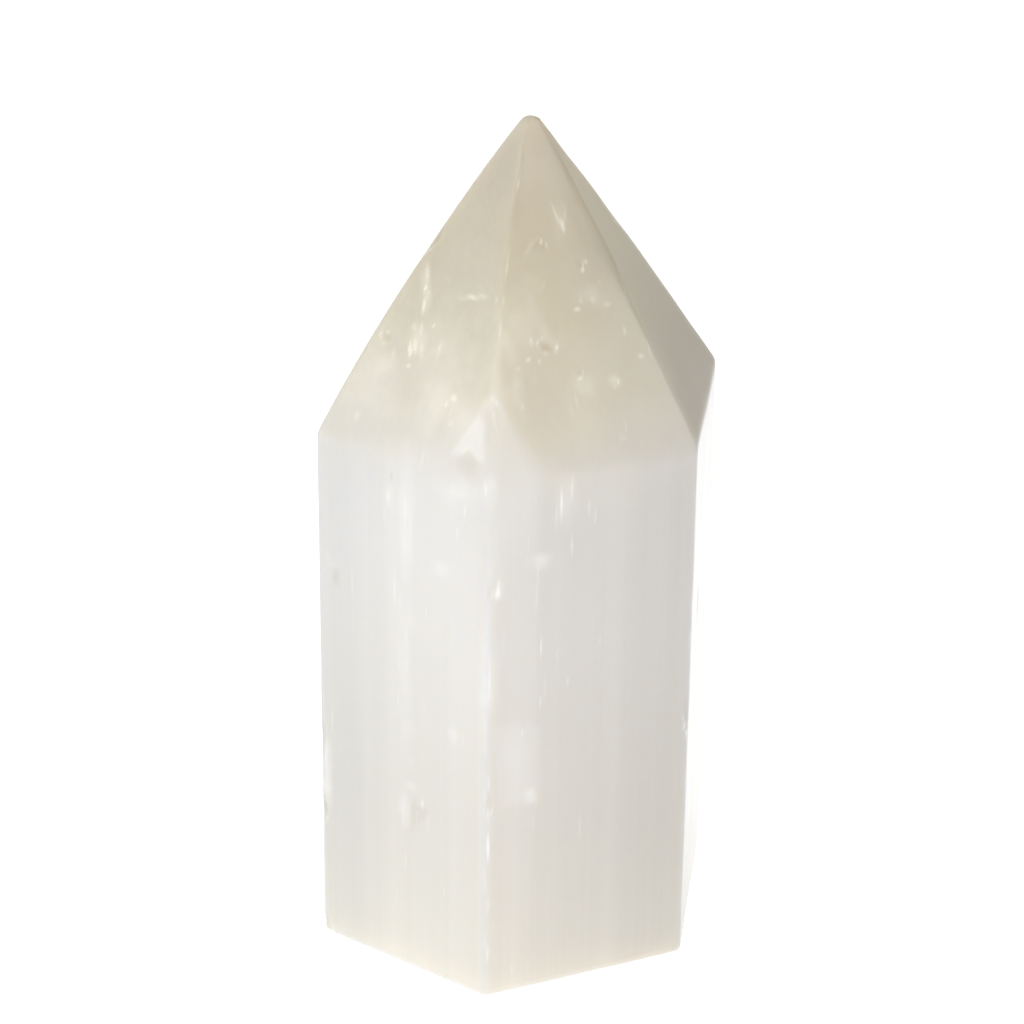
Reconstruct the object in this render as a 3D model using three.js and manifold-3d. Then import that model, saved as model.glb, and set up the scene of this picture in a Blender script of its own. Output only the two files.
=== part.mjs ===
// Selenite point: one piece of fibrous selenite, ground by hand to a six-sided tower with a six-sided tip.
// Millimetres, +Z up. The origin lies on the sawn base, under the tower's axis. -Y is the broad front side.
// The tower is a rough block from which every flat, arris and scar is ground away in turn.

import * as THREE from "three";
import { mergeVertices } from "three/addons/utils/BufferGeometryUtils.js";
import Module from "manifold-3d";

// ---- Driving dimensions ----

const APEX_HEIGHT = 111.5; // where the six flats of the tip would meet in a sharp point
const TIP_HEIGHT = 110.1; // the blunted point that is left of it
const SHOULDER_HEIGHT = 72.6; // where the upright sides end and the tip begins
const TIP_DRIFT = new THREE.Vector2(0.9, -0.4); // how far the point stands off the tower's axis

// The sides, going round. turn is the way a side faces, in degrees from +X, and reach its distance from the
// axis. tip is the flat of the tip above it, with its reach at the shoulder. bulge is how far that flat
// swells out past a straight slope. The back left one is ground askew and runs down over the shoulder.
const SIDES = {
  left: { turn: -150, reach: 24.2, tip: { turn: -150, reach: 24.2, bulge: 1.8 } },
  front: { turn: -90, reach: 23.6, tip: { turn: -90, reach: 23.6, bulge: 1.0 } },
  right: { turn: -31.5, reach: 23.8, tip: { turn: -31.5, reach: 23.8, bulge: 0.5 } },
  back_right: { turn: 30, reach: 24.2, tip: { turn: 30, reach: 24.5, bulge: 0.2 } },
  back: { turn: 90, reach: 23.7, tip: { turn: 90, reach: 23.7, bulge: 0.8 } },
  back_left: { turn: 149.5, reach: 23.7, tip: { turn: 143, reach: 21.9, bulge: 1.26 } },
};
// Where the grinding of the tip changes slope.
const PASS_HEIGHTS = [SHOULDER_HEIGHT, 81, 90, 100, APEX_HEIGHT];

const FRONT_STRIP_WIDTH = 7; // a narrow flat beside the front arris, ground a little off the front side
const FRONT_STRIP_TURN = -93;

// The two flats that cut the shoulder off the front arris. Both run from its foot up to its peak.
const CORNER_FOOT_HEIGHT = 60;
const CORNER_PEAK_HEIGHT = 82.2;
const CORNER_TURNS = [-128, -117];

const ARRIS_WEAR = 0.3; // depth lost from each upright arris and from each ridge of the tip
const BASE_WEAR = 0.5; // depth lost round the edge of the base
const TIP_WEAR_LEAN = 58; // lean of the small flats round the blunted point, in degrees from upright
const TIP_WEAR_REACH = 0.55; // half the width that is left level on top of it

// Scars in the sides: across is counted from the middle of the side, deep is the depth of the hollow, and
// roll turns it on the surface, in degrees. Most follow the fibres, which run upright.
const SIDE_SCARS = [
  { on: "left", across: 8.4, height: 74.8, wide: 5.6, tall: 6.2, deep: 1.9, roll: 10 },
  { on: "left", across: -8.2, height: 84.4, wide: 2.4, tall: 1.6, deep: 0.4, roll: -40 },
  { on: "left", across: -2.4, height: 85.6, wide: 0.9, tall: 2.6, deep: 0.3, roll: 6 },
  { on: "left", across: -1.2, height: 84.6, wide: 0.8, tall: 2, deep: 0.3, roll: -4 },
  { on: "left", across: 2.4, height: 22.9, wide: 3.2, tall: 3.4, deep: 0.45, roll: 58 },
  { on: "front", across: -4.4, height: 87, wide: 3.6, tall: 2.2, deep: 0.5, roll: 28 },
  { on: "front", across: -2.1, height: 97.2, wide: 2.7, tall: 1.6, deep: 0.35, roll: -20 },
  { on: "front", across: 3.7, height: 82, wide: 1.4, tall: 1, deep: 0.35, roll: 50 },
  { on: "front", across: -0.9, height: 82.8, wide: 1.5, tall: 0.9, deep: 0.3, roll: 40 },
  { on: "right", across: -3.2, height: 46, wide: 2, tall: 7.5, deep: 0.4, roll: 2 },
  { on: "back_right", across: 4.5, height: 31, wide: 3.4, tall: 5, deep: 0.5, roll: -24 },
  { on: "back_right", across: -3.4, height: 79, wide: 2, tall: 5, deep: 0.4, roll: 8 },
  { on: "back", across: -5.5, height: 57, wide: 2.2, tall: 9, deep: 0.5, roll: -3 },
  { on: "back", across: 2.6, height: 90, wide: 3.2, tall: 2.2, deep: 0.5, roll: 22 },
  { on: "back_left", across: 3.2, height: 18, wide: 2.6, tall: 4.2, deep: 0.4, roll: 12 },
  { on: "back_left", across: -2.4, height: 80.5, wide: 1.8, tall: 4.8, deep: 0.4, roll: -10 },
];

// Splinters gone from the arrises: each lies where the two named sides, or the flats above them, meet.
const ARRIS_CHIPS = [
  { between: ["left", "front"], height: 58.4, wide: 2, tall: 5.6, deep: 0.6, roll: -6 },
  { between: ["left", "front"], height: 28.5, wide: 1.6, tall: 6, deep: 0.4, roll: 3 },
  { between: ["left", "back_left"], height: 28.6, wide: 2, tall: 8, deep: 0.4, roll: 0 },
  { between: ["left", "back_left"], height: 18.2, wide: 2.2, tall: 6, deep: 0.4, roll: -8 },
  { between: ["left", "back_left"], height: 96.2, wide: 2, tall: 5, deep: 0.4, roll: 0 },
  { between: ["front", "right"], height: 36, wide: 1.6, tall: 8, deep: 0.4, roll: 2 },
  { between: ["right", "back_right"], height: 12, wide: 2.4, tall: 6, deep: 0.6, roll: 5 },
  { between: ["back_right", "back"], height: 66, wide: 2, tall: 8.4, deep: 0.6, roll: -4 },
  { between: ["back_right", "back"], height: 88, wide: 2, tall: 5, deep: 0.5, roll: 9 },
  { between: ["back", "back_left"], height: 42, wide: 2.6, tall: 9, deep: 0.6, roll: 3 },
  { between: ["back", "back_left"], height: 2, wide: 4, tall: 6, deep: 0.9, roll: 25 },
];
const SCAR_RIM = 0.8; // how far a hollow's centre stands proud of the surface, as a share of its depth
const SCAR_DETAIL = 2;

const SELENITE = { color: 0xe6e0d4, roughness: 0.36, metalness: 0 };

// ---- Solids ----

const BLOCK_WIDTH = 70; // the rough block that the tower is ground from
const WASTE_SIZE = 400; // larger than anything that is ground away

const wasm = await Module();
wasm.setup();

// A closed three.js geometry as a manifold-3d solid.
function toSolid(geometry) {
  const bare = geometry.clone();
  bare.deleteAttribute("normal");
  bare.deleteAttribute("uv");
  const merged = mergeVertices(bare);
  const mesh = new wasm.Mesh({
    numProp: 3,
    vertProperties: merged.attributes.position.array,
    triVerts: new Uint32Array(merged.index.array),
  });
  return new wasm.Manifold(mesh);
}

// A manifold-3d solid as a flat-shaded three.js geometry.
function toGeometry(solid) {
  const { vertProperties, triVerts } = solid.getMesh();
  const geometry = new THREE.BufferGeometry();
  geometry.setAttribute("position", new THREE.BufferAttribute(vertProperties, 3));
  geometry.setIndex(new THREE.BufferAttribute(triVerts, 1));
  const flat = geometry.toNonIndexed();
  flat.computeVertexNormals();
  return flat;
}

// ---- The lines that a side and the flat above it follow ----

// The level direction that faces turn degrees from +X.
function facing(turn) {
  const angle = THREE.MathUtils.degToRad(turn);
  return new THREE.Vector2(Math.cos(angle), Math.sin(angle));
}

// The way that a side, or from the shoulder up the flat above it, faces.
function turnAt(side, height) {
  return height < SHOULDER_HEIGHT ? side.turn : side.tip.turn;
}

// A side's distance from the axis, or from the shoulder up that of the flat above it.
function reachAt(side, height) {
  return height < SHOULDER_HEIGHT ? side.reach : tipReachAt(side.tip, height);
}

// The distance of a flat of the tip from the axis: a slope to the point that swells in its middle.
function tipReachAt(flat, height) {
  const left = (APEX_HEIGHT - height) / (APEX_HEIGHT - SHOULDER_HEIGHT);
  const done = 1 - left;
  const drift = facing(flat.turn).dot(TIP_DRIFT);
  return flat.reach * left + 4 * flat.bulge * left * done + drift * done;
}

// The way that the arris between two sides faces at a height.
function turnBetween(a, b, height) {
  const between = facing(turnAt(a, height)).add(facing(turnAt(b, height)));
  return THREE.MathUtils.radToDeg(between.angle());
}

// Where two sides meet at a height, as a level point.
function arrisAt(a, b, height) {
  const normalA = facing(turnAt(a, height));
  const normalB = facing(turnAt(b, height));
  const reachA = reachAt(a, height);
  const reachB = reachAt(b, height);
  const cross = normalA.cross(normalB);
  return new THREE.Vector2(
    (reachA * normalB.y - reachB * normalA.y) / cross,
    (reachB * normalA.x - reachA * normalB.x) / cross,
  );
}

// ---- Grinding ----

// Grinds away all that lies past a plane. The plane faces turn degrees from +X and passes through two
// points, each given as a distance from the axis, measured that way, and a height.
function grind(solid, turn, low, high) {
  const lean = Math.atan2(low.reach - high.reach, high.height - low.height);
  const waste = new THREE.BoxGeometry(WASTE_SIZE, WASTE_SIZE, WASTE_SIZE)
    .translate(WASTE_SIZE / 2, 0, 0)
    .rotateY(-lean)
    .translate(low.reach, 0, low.height)
    .rotateZ(THREE.MathUtils.degToRad(turn));
  return solid.subtract(toSolid(waste));
}

// Grinds an upright flat.
function grindUpright(solid, turn, reach) {
  return grind(solid, turn, { reach, height: 0 }, { reach, height: 1 });
}

// Grinds a flat or a ridge of the tip in passes. reachOf gives its distance from the axis at a height.
function grindTip(solid, turn, reachOf) {
  for (let pass = 1; pass < PASS_HEIGHTS.length; pass += 1) {
    const low = { height: PASS_HEIGHTS[pass - 1], reach: reachOf(PASS_HEIGHTS[pass - 1]) };
    const high = { height: PASS_HEIGHTS[pass], reach: reachOf(PASS_HEIGHTS[pass]) };
    solid = grind(solid, turn, low, high);
  }
  return solid;
}

function grindSides(solid) {
  for (const side of Object.values(SIDES)) {
    solid = grindUpright(solid, side.turn, side.reach);
    solid = grindTip(solid, side.tip.turn, (height) => tipReachAt(side.tip, height));
  }
  return solid;
}

// The narrow flat beside the front arris starts on the front side, its own width away from the arris.
function grindFrontStrip(solid) {
  const start = arrisAt(SIDES.left, SIDES.front, 0);
  start.x += FRONT_STRIP_WIDTH;
  return grindUpright(solid, FRONT_STRIP_TURN, start.dot(facing(FRONT_STRIP_TURN)));
}

function grindFrontCorner(solid) {
  const foot = arrisAt(SIDES.left, SIDES.front, CORNER_FOOT_HEIGHT);
  const peak = arrisAt(SIDES.left, SIDES.front, CORNER_PEAK_HEIGHT);
  for (const turn of CORNER_TURNS) {
    const low = { reach: foot.dot(facing(turn)), height: CORNER_FOOT_HEIGHT };
    const high = { reach: peak.dot(facing(turn)), height: CORNER_PEAK_HEIGHT };
    solid = grind(solid, turn, low, high);
  }
  return solid;
}

// Wears every upright arris, every ridge of the tip and the edge of the base.
function wearArrises(solid) {
  const sides = Object.values(SIDES);
  sides.forEach((side, i) => {
    const next = sides[(i + 1) % sides.length];
    const wornReach = (turn) => (height) => arrisAt(side, next, height).dot(facing(turn)) - ARRIS_WEAR;
    const turn = turnBetween(side, next, 0);
    const tipTurn = turnBetween(side, next, TIP_HEIGHT);
    solid = grindUpright(solid, turn, wornReach(turn)(0));
    solid = grindTip(solid, tipTurn, wornReach(tipTurn));
    solid = grind(
      solid,
      side.turn,
      { reach: side.reach - BASE_WEAR, height: 0 },
      { reach: side.reach, height: BASE_WEAR },
    );
  });
  return solid;
}

// Rounds the point over: a ring of small flats, and a level one on top.
function bluntTip(solid) {
  const slope = Math.tan(THREE.MathUtils.degToRad(TIP_WEAR_LEAN));
  for (const side of Object.values(SIDES)) {
    const reach = facing(side.turn).dot(TIP_DRIFT) + TIP_WEAR_REACH;
    const low = { reach: reach + 1, height: TIP_HEIGHT - 1 / slope };
    solid = grind(solid, side.turn, low, { reach, height: TIP_HEIGHT });
  }
  const top = new THREE.BoxGeometry(WASTE_SIZE, WASTE_SIZE, WASTE_SIZE);
  return solid.subtract(toSolid(top.translate(0, 0, TIP_HEIGHT + WASTE_SIZE / 2)));
}

// ---- Scars ----

// Takes a shallow hollow out of the surface. spotAt gives the level point of the surface at a height.
function hollowOut(solid, scar, turn, spotAt) {
  const spot = spotAt(scar.height);
  const above = spotAt(scar.height + 1);
  const middle = new THREE.Vector3(spot.x, spot.y, scar.height);
  const upward = new THREE.Vector3(above.x, above.y, scar.height + 1).sub(middle).normalize();
  const level = facing(turn);
  const sideways = new THREE.Vector3(-level.y, level.x, 0);
  const outward = new THREE.Vector3().crossVectors(sideways, upward).normalize();
  const fullDepth = scar.deep * (1 + SCAR_RIM);
  const rimShare = Math.sqrt(1 - (SCAR_RIM / (1 + SCAR_RIM)) ** 2);
  const place = new THREE.Matrix4()
    .makeBasis(sideways, new THREE.Vector3().crossVectors(outward, sideways), outward)
    .setPosition(middle.addScaledVector(outward, scar.deep * SCAR_RIM));
  const hollow = new THREE.OctahedronGeometry(1, SCAR_DETAIL)
    .scale(scar.wide / 2 / rimShare, scar.tall / 2 / rimShare, fullDepth)
    .rotateZ(THREE.MathUtils.degToRad(scar.roll))
    .applyMatrix4(place);
  return solid.subtract(toSolid(hollow));
}

function cutScars(solid) {
  for (const scar of SIDE_SCARS) {
    const side = SIDES[scar.on];
    const turn = turnAt(side, scar.height);
    const outward = facing(turn);
    const sideways = new THREE.Vector2(-outward.y, outward.x).multiplyScalar(scar.across);
    const spotAt = (height) => outward.clone().multiplyScalar(reachAt(side, height)).add(sideways);
    solid = hollowOut(solid, scar, turn, spotAt);
  }
  for (const chip of ARRIS_CHIPS) {
    const [a, b] = chip.between.map((name) => SIDES[name]);
    const turn = turnBetween(a, b, chip.height);
    const worn = facing(turn).multiplyScalar(-ARRIS_WEAR);
    solid = hollowOut(solid, chip, turn, (height) => arrisAt(a, b, height).add(worn));
  }
  return solid;
}

// ---- The stone ----

function buildStone() {
  const block = new THREE.BoxGeometry(BLOCK_WIDTH, BLOCK_WIDTH, APEX_HEIGHT);
  block.translate(0, 0, APEX_HEIGHT / 2);
  const steps = [grindSides, grindFrontStrip, grindFrontCorner, wearArrises, bluntTip, cutScars];
  return steps.reduce((solid, step) => step(solid), toSolid(block));
}

const stone = new THREE.Mesh(toGeometry(buildStone()), new THREE.MeshStandardMaterial(SELENITE));
stone.name = "selenite_point";

const seleniteTower = new THREE.Group();
seleniteTower.add(stone);

export default seleniteTower;
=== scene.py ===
import math

import bpy
import numpy as np
from bpy.props import FloatProperty, FloatVectorProperty, IntProperty, PointerProperty
from mathutils import Matrix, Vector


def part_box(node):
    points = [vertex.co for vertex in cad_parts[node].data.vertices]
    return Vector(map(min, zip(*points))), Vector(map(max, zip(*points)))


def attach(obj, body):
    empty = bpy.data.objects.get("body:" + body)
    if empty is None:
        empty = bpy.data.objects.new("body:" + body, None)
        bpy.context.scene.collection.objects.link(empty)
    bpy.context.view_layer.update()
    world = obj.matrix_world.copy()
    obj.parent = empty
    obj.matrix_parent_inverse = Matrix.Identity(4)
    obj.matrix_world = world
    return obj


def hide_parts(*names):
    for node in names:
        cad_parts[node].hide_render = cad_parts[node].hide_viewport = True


bl_info = {
    "name": "Selenite Point",
    "version": (1, 0, 0),
    "blender": (4, 5, 0),
    "location": "View3D > Sidebar > Selenite",
    "description": "Builds a hand-ground selenite tower, worn and splintered, with its studio stage",
    "category": "Add Mesh",
}

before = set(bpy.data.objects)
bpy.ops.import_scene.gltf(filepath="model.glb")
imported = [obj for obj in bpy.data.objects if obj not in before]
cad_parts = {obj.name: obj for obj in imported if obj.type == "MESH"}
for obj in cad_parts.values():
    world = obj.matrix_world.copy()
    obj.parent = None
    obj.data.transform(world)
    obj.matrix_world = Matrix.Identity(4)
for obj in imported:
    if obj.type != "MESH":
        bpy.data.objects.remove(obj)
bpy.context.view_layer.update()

MM = 0.001
STONE_NODE = "selenite_point"
STONE_LOW, STONE_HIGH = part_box(STONE_NODE)
CLEAR = 0.00002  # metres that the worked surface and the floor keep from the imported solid's box

# ---------------- how the stone is ground

# The sides, going round: the way each faces in degrees from +X, and its distance from the axis in mm.
SIDES = {
    "left": (-150.0, 24.2),
    "front": (-90.0, 23.6),
    "right": (-31.5, 23.8),
    "back_right": (30.0, 24.2),
    "back": (90.0, 23.7),
    "back_left": (149.5, 23.7),
}
# The flats of the tip above them: the way each faces, its distance from the axis at the shoulder, and how
# far it swells out past a straight slope. The back left one is ground askew and runs down over the shoulder.
TIP_FLATS = {
    "left": (-150.0, 24.2, 1.8),
    "front": (-90.0, 23.6, 1.0),
    "right": (-31.5, 24.05, 0.5),
    "back_right": (30.0, 24.8, 0.2),
    "back": (90.0, 23.7, 0.8),
    "back_left": (143.0, 21.9, 1.2),
}
FRONT_STRIP_WIDTH = 7.0  # a narrow strip beside the front arris, ground a little off the front side
FRONT_STRIP_TURN = -93.0
CORNER_TURNS = (-128.0, -117.0)  # the two flats that cut the front shoulder
CORNER_SPLIT = (-120.0, 6.0)  # the way in which the left one's softer wear begins, and over what width

# Sectors of the stone in degrees from +X: the middle, how far each reaches from it, and the width over which
# it fades out.
FRONT_RIDGES = (-90.0, 42.0, 12.0)
RIGHT_RIDGE = (-58.0, 22.0, 12.0)
SOFT_SHOULDER = (-116.0, 60.0, 8.0)

# How wear changes over the stone, as shares of the arris wear. The ridges of the tip are more worn from a
# height up, over a rise, both in metres.
WEAR_VARIES = (0.55, 0.9)  # the least, and what varies
CORNER_RIDGE_WEAR = 2.0
CORNER_LEFT_WEAR = 1.5
HIGH_RIDGES = (0.084, 0.012)
FRONT_RIDGE_WEAR = 1.6
RIGHT_RIDGE_WEAR = 1.8
TIP_WEAR_CAP = 0.1  # as a share of the height that is left to the apex
SHOULDER_WEAR = (0.35, 1.05)  # on the crisp part of the shoulder, and what the soft part has besides

# Metres over which the colour of the cut tip runs into the sides. It is crisper by this share at the corner
# flats and on the right.
BORDER_BLUR = (0.0004, 0.0012)  # the least, and what varies
BORDER_CRISP = 0.85
CRISP_FROM = -90.0  # degrees from +X

# Noise that varies the surface: its spacing in metres along each axis, and its seed. Each flat wanders by a
# seed of its own, and each scar is ragged by one, counted up from these.
NOISES = {
    "wander": ((0.011, 0.011, 0.019), 40),
    "wear": ((0.006, 0.006, 0.005), 7),
    "blur": ((0.004, 0.004, 0.004), 8),
    "ribs": ((0.0005, 0.0005, 0.004), 91),
    "ragged": ((0.0007, 0.0007, 0.0014), 200),
    "clouds": ((0.0012, 0.0012, 0.0022), 301),
    "splits": ((0.0012, 0.0012, 0.0022), 302),
    "dull": ((0.0012, 0.0012, 0.0022), 303),
}

# The grid: shares of the reach for the rings of the base, and steps of its worn edge. Rows crowd from a
# height up, over a rise, and near the base and the tip, falling off over a distance, in metres. Columns
# crowd on the shown sides, with a fade, and at the arrises, in degrees. How much denser they are comes last.
BASE_RINGS = (0.3, 0.6, 0.85, 0.97)
EDGE_STEPS = 5
MARKED_ROWS = (0.070, 0.004, 1.5)
BASE_ROWS, TIP_ROWS = (0.003, 0.8), (0.0015, 6.0)
SHOWN_SIDES = (-185.0, -58.0)
SHOWN_COLUMNS, ARRIS_COLUMNS = (8.0, 2.0), (1.5, 0.8)

# A scar's floor: how deep its ribs are, how steep its wall is, how far its outline strays, and how deep its
# head is against its foot. A mark takes the points that lie this near to its plane, in metres.
RIB_DEPTH, SCAR_STEEP, SCAR_STRAYS, SCAR_HEAD = 0.3, 1.9, 0.7, 0.35
MARK_THICKNESS = 0.004
LEAST_SLANT = 0.2  # the least cosine between a flat and a ray, which keeps far flats from running off

# How far each flat takes part in the fields that set the stone's colour, and its painted light and shade.
COLOUR_SHARES = {
    "on_left": {"left": 1.0, "corner_left": 1.0, "corner_right": 0.25},
    "on_right": {"right": 1.0},
    "on_corner": {"corner_left": 1.0, "corner_right": 1.0},
}

# ---------------- marks on the stone

# Every mark lies on a side, or on the arris between two: across from the side's middle, which is 0 on an
# arris, height up the stone, wide and tall, all in millimetres; then depth in millimetres or strength from 0
# to 1; then roll in degrees. A scar has how ragged it is and how pale it is at its foot, from 0 to 1, last;
# that pale edge is bruised, with a painted highlight on it. The scars on the arrises are splinters gone from
# them.
SCARS = {
    "left": [
        (-7.4, 84.9, 2.2, 1.6, 0.14, -40, 1.0), (-3.6, 84.8, 1.0, 3.0, 0.10, 21, 0.7),
        (-1.9, 84.9, 0.9, 2.4, 0.10, 20, 0.7), (8.2, 74.6, 3.8, 4.4, 0.06, 180, 0.2),
    ],
    "front": [
        (-3.9, 86.5, 2.9, 1.8, 0.24, -40, 0.3), (-2.1, 97.2, 2.6, 1.5, 0.15, 160, 1.0),
        (2.7, 94.5, 1.0, 0.9, 0.10, 40, 1.0), (4.3, 81.6, 1.3, 0.9, 0.16, 50, 1.0),
        (-0.3, 83.1, 1.6, 1.0, 0.14, 40, 1.0),
    ],
    "right": [(-3.2, 46.0, 2.0, 7.5, 0.25, 2, 1.0)],
    "back_right": [(4.5, 31.0, 3.4, 5.0, 0.30, -24, 1.0), (-3.4, 79.0, 2.0, 5.0, 0.25, 8, 1.0)],
    "back": [(-5.5, 57.0, 2.2, 9.0, 0.30, -3, 1.0), (2.6, 90.0, 3.2, 2.2, 0.30, 22, 1.0)],
    "back_left": [(3.2, 18.0, 2.6, 4.2, 0.25, 12, 1.0), (-2.4, 80.5, 1.8, 4.8, 0.25, -10, 1.0)],
    ("left", "front"): [(0, 58.6, 1.6, 3.6, 0.12, -26, 0.6), (0, 28.5, 1.2, 6.0, 0.15, 3, 0.6)],
    ("left", "back_left"): [
        (0, 28.6, 2.0, 8.0, 0.25, 0, 0.6), (0, 18.2, 2.2, 6.0, 0.30, -8, 0.6),
        (0, 0.8, 3.6, 3.2, 0.35, 20, 0.6), (0, 96.2, 1.6, 5.0, 0.30, 0, 0.6),
    ],
    ("front", "right"): [(0, 36.0, 1.6, 8.0, 0.20, 2, 0.6)],
    ("right", "back_right"): [(0, 12.0, 2.4, 6.0, 0.50, 5, 0.6)],
    ("back_right", "back"): [(0, 66.0, 2.0, 8.4, 0.50, -4, 0.6), (0, 88.0, 2.0, 5.0, 0.40, 9, 0.6)],
    ("back", "back_left"): [(0, 42.0, 2.6, 9.0, 0.50, 3, 0.6), (0, 2.0, 4.0, 6.0, 0.80, 25, 0.6)],
}

# Flakes with a straight-edged outline: a side, the corners as across and height, strength, and in
# millimetres how far in from the outline the flake fades out.
PALE_FLAKES = [
    # Lies over a fracture and paints the highlight that the fracture catches.
    ("left", [(8.6, 80.6), (9.7, 79.8), (10.6, 74.6), (5.4, 74.6)], 0.36, 1.3),
    ("front", [(-13.0, 59.7), (-12.5, 58.6), (-13.1, 57.1), (-13.5, 57.0)], 0.6, 0.15),
    ("front", [(-13.6, 40.0), (-7.1, 38.9), (-6.9, 27.2), (-12.6, 28.0)], 0.10, 0.15),
    ("left", [(-0.3, 26.2), (1.0, 25.3), (0.8, 21.0), (-0.5, 20.4)], 0.20, 0.15),
]
DULL_FLAKES = [
    # Painted shade in the hollow of the scar at 74.6 mm on the left, under the flake above.
    ("left",
     [(6.5, 73.8), (7.0, 75.4), (7.9, 76.2), (8.9, 76.1), (9.8, 75.1), (9.9, 70.6), (6.6, 70.6)], 0.06, 0.5),
    ("left", [(1.0, 25.2), (1.8, 25.4), (4.1, 24.2), (1.2, 20.8)], 0.30, 0.15),
]

# Soft milky places under the surface. The broad ones low on the left flat of the tip, near the front, also
# paint the glow of light through the stone there.
MILKY_CLOUDS = {
    "left": [
        (-6.5, 81.9, 5.6, 4.2, 0.42, 30), (0.6, 85.6, 2.4, 3.0, 0.20, 20),
        (-3.0, 85.4, 3.8, 6.4, 0.52, 20), (-4.0, 91.2, 2.2, 8.4, 0.42, 21),
        # Broad ones here and on the next line also paint the glow of light through the stone.
        (2.2, 91.4, 7.6, 1.0, 0.22, 15), (4.5, 79.4, 15.0, 9.0, 0.38, 10),
        (7.4, 84.6, 6.0, 9.0, 0.12, 15), (2.2, 84.6, 13.0, 17.0, 0.30, 15),
        (4.7, 80.9, 1.2, 1.4, 0.70, 20), (3.9, 80.0, 0.6, 1.2, 0.70, 0),
        (5.2, 78.2, 1.2, 1.0, 0.55, 0), (4.8, 79.4, 0.9, 2.2, 0.35, -20),
        (-8.3, 75.9, 1.2, 1.9, 0.55, 0), (7.6, 70.4, 6.0, 3.4, 0.24, 20),
        (11.2, 71.4, 3.2, 4.6, 0.34, 0), (8.6, 70.0, 11.0, 7.0, 0.26, 0),
        (0.4, 66.0, 3.4, 26.0, 0.40, 0), (-2.4, 67.2, 2.2, 4.4, 0.30, 10),
        (5.6, 59.6, 4.2, 2.6, 0.50, 0), (0.4, 45.0, 3.6, 46.0, 0.25, 0),
        (7.8, 37.0, 2.2, 3.0, 0.35, 0), (1.3, 27.0, 3.2, 1.6, 0.50, 0),
        (-0.4, 23.6, 1.8, 5.6, 0.35, 0), (-12.6, 24.5, 2.8, 17.0, 0.55, 0),
        (-11.6, 55.6, 2.6, 1.5, 0.65, -20), (12.6, 46.5, 3.0, 18.0, 0.35, 0),
    ],
    ("left", "front"): [(0, 87.0, 5.0, 9.0, 0.18, 0)],
    "front": [
        (-13.0, 59.0, 2.4, 4.6, 0.50, 0), (-7.7, 61.8, 4.4, 3.2, 0.40, 0),
        (-4.0, 69.4, 4.0, 9.0, 0.28, 0), (-10.4, 34.0, 6.4, 14.0, 0.15, 0),
        (-8.3, 28.8, 2.4, 2.8, 0.50, 20), (-0.1, 82.0, 4.4, 3.6, 0.35, -20),
        (4.2, 81.9, 2.6, 2.2, 0.55, 0), (-3.9, 87.4, 6.4, 4.4, 0.28, 0),
        (3.2, 91.0, 5.6, 4.0, 0.24, -20), (1.1, 99.5, 3.0, 8.0, 0.22, -6),
        (-9.4, 82.6, 5.0, 9.0, 0.30, 22), (-6.6, 88.6, 8.0, 17.0, 0.34, -19),
    ],
    "right": [
        (-8.0, 80.5, 10.0, 18.0, 0.07, -18), (2.0, 58.0, 5.0, 24.0, 0.35, 0),
        (-6.0, 20.0, 6.0, 16.0, 0.30, 0),
    ],
    "back_right": [(-5.0, 48.0, 4.0, 40.0, 0.40, 0), (6.0, 76.0, 9.0, 7.0, 0.40, -15)],
    "back": [(3.0, 36.0, 7.0, 22.0, 0.35, 0), (-4.0, 80.0, 9.0, 8.0, 0.40, 20)],
    "back_left": [(5.0, 62.0, 4.0, 30.0, 0.40, 0), (-6.0, 30.0, 6.0, 12.0, 0.30, 0)],
}

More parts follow.
